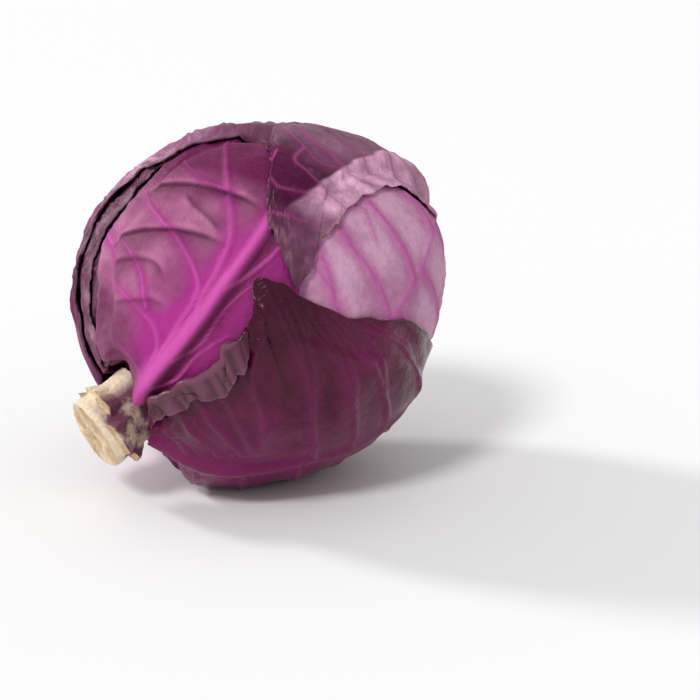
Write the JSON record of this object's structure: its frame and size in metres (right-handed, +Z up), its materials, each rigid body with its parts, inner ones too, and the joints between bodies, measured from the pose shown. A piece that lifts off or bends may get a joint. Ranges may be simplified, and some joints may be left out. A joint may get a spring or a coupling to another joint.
{
  "type": "cabbage head",
  "caption": "Whole red cabbage head lying on its side, with loose ribbed wrapper leaves laid over a dense heart and the cut stump of its stalk.",
  "frame": {"origin": "on the surface the head rests on, straight under the centre of the head and inside the lowest leaf's small flat spot", "axes": "+Z up; the cut stalk points to -X and 29 degrees down; +X is the crown end; -Y is the side with the front leaf"},
  "size_m": [0.1735, 0.1698, 0.1586],
  "materials": {
    "heart": "tightly folded purple leaves under the wrapper leaves, softly matt",
    "under_leaf": "waxy red cabbage leaf: purple blade with a pale dusty bloom and paler magenta ribs, satin",
    "right_leaf": "waxy red cabbage leaf: purple blade with a pale dusty bloom and paler magenta ribs, satin",
    "back_inner_leaf": "waxy red cabbage leaf: purple blade with a pale dusty bloom and paler magenta ribs, satin",
    "left_inner_leaf": "waxy red cabbage leaf: purple blade with a pale dusty bloom and paler magenta ribs, satin",
    "left_outer_leaf": "waxy red cabbage leaf: purple blade with a pale dusty bloom and paler magenta ribs, satin",
    "back_leaf": "waxy red cabbage leaf: purple blade with a pale dusty bloom and paler magenta ribs, satin",
    "front_leaf": "waxy red cabbage leaf: purple blade with a pale dusty bloom and paler magenta ribs, satin",
    "lower_leaf": "waxy red cabbage leaf: purple blade with a pale dusty bloom and paler magenta ribs, satin",
    "crown_leaf": "waxy red cabbage leaf: purple blade with a pale dusty bloom and paler magenta ribs, satin",
    "stalk": "dry woody cut face in tan and cream with purple-skinned leaf stubs, matt"
  },
  "bodies": {
    "root": {"heart": "heart", "under_leaf": "under_leaf", "right_leaf": "right_leaf", "back_inner_leaf": "back_inner_leaf", "left_inner_leaf": "left_inner_leaf", "left_outer_leaf": "left_outer_leaf", "back_leaf": "back_leaf", "front_leaf": "front_leaf", "lower_leaf": "lower_leaf", "crown_leaf": "crown_leaf", "stalk": "stalk"}
  },
  "joints": []
}
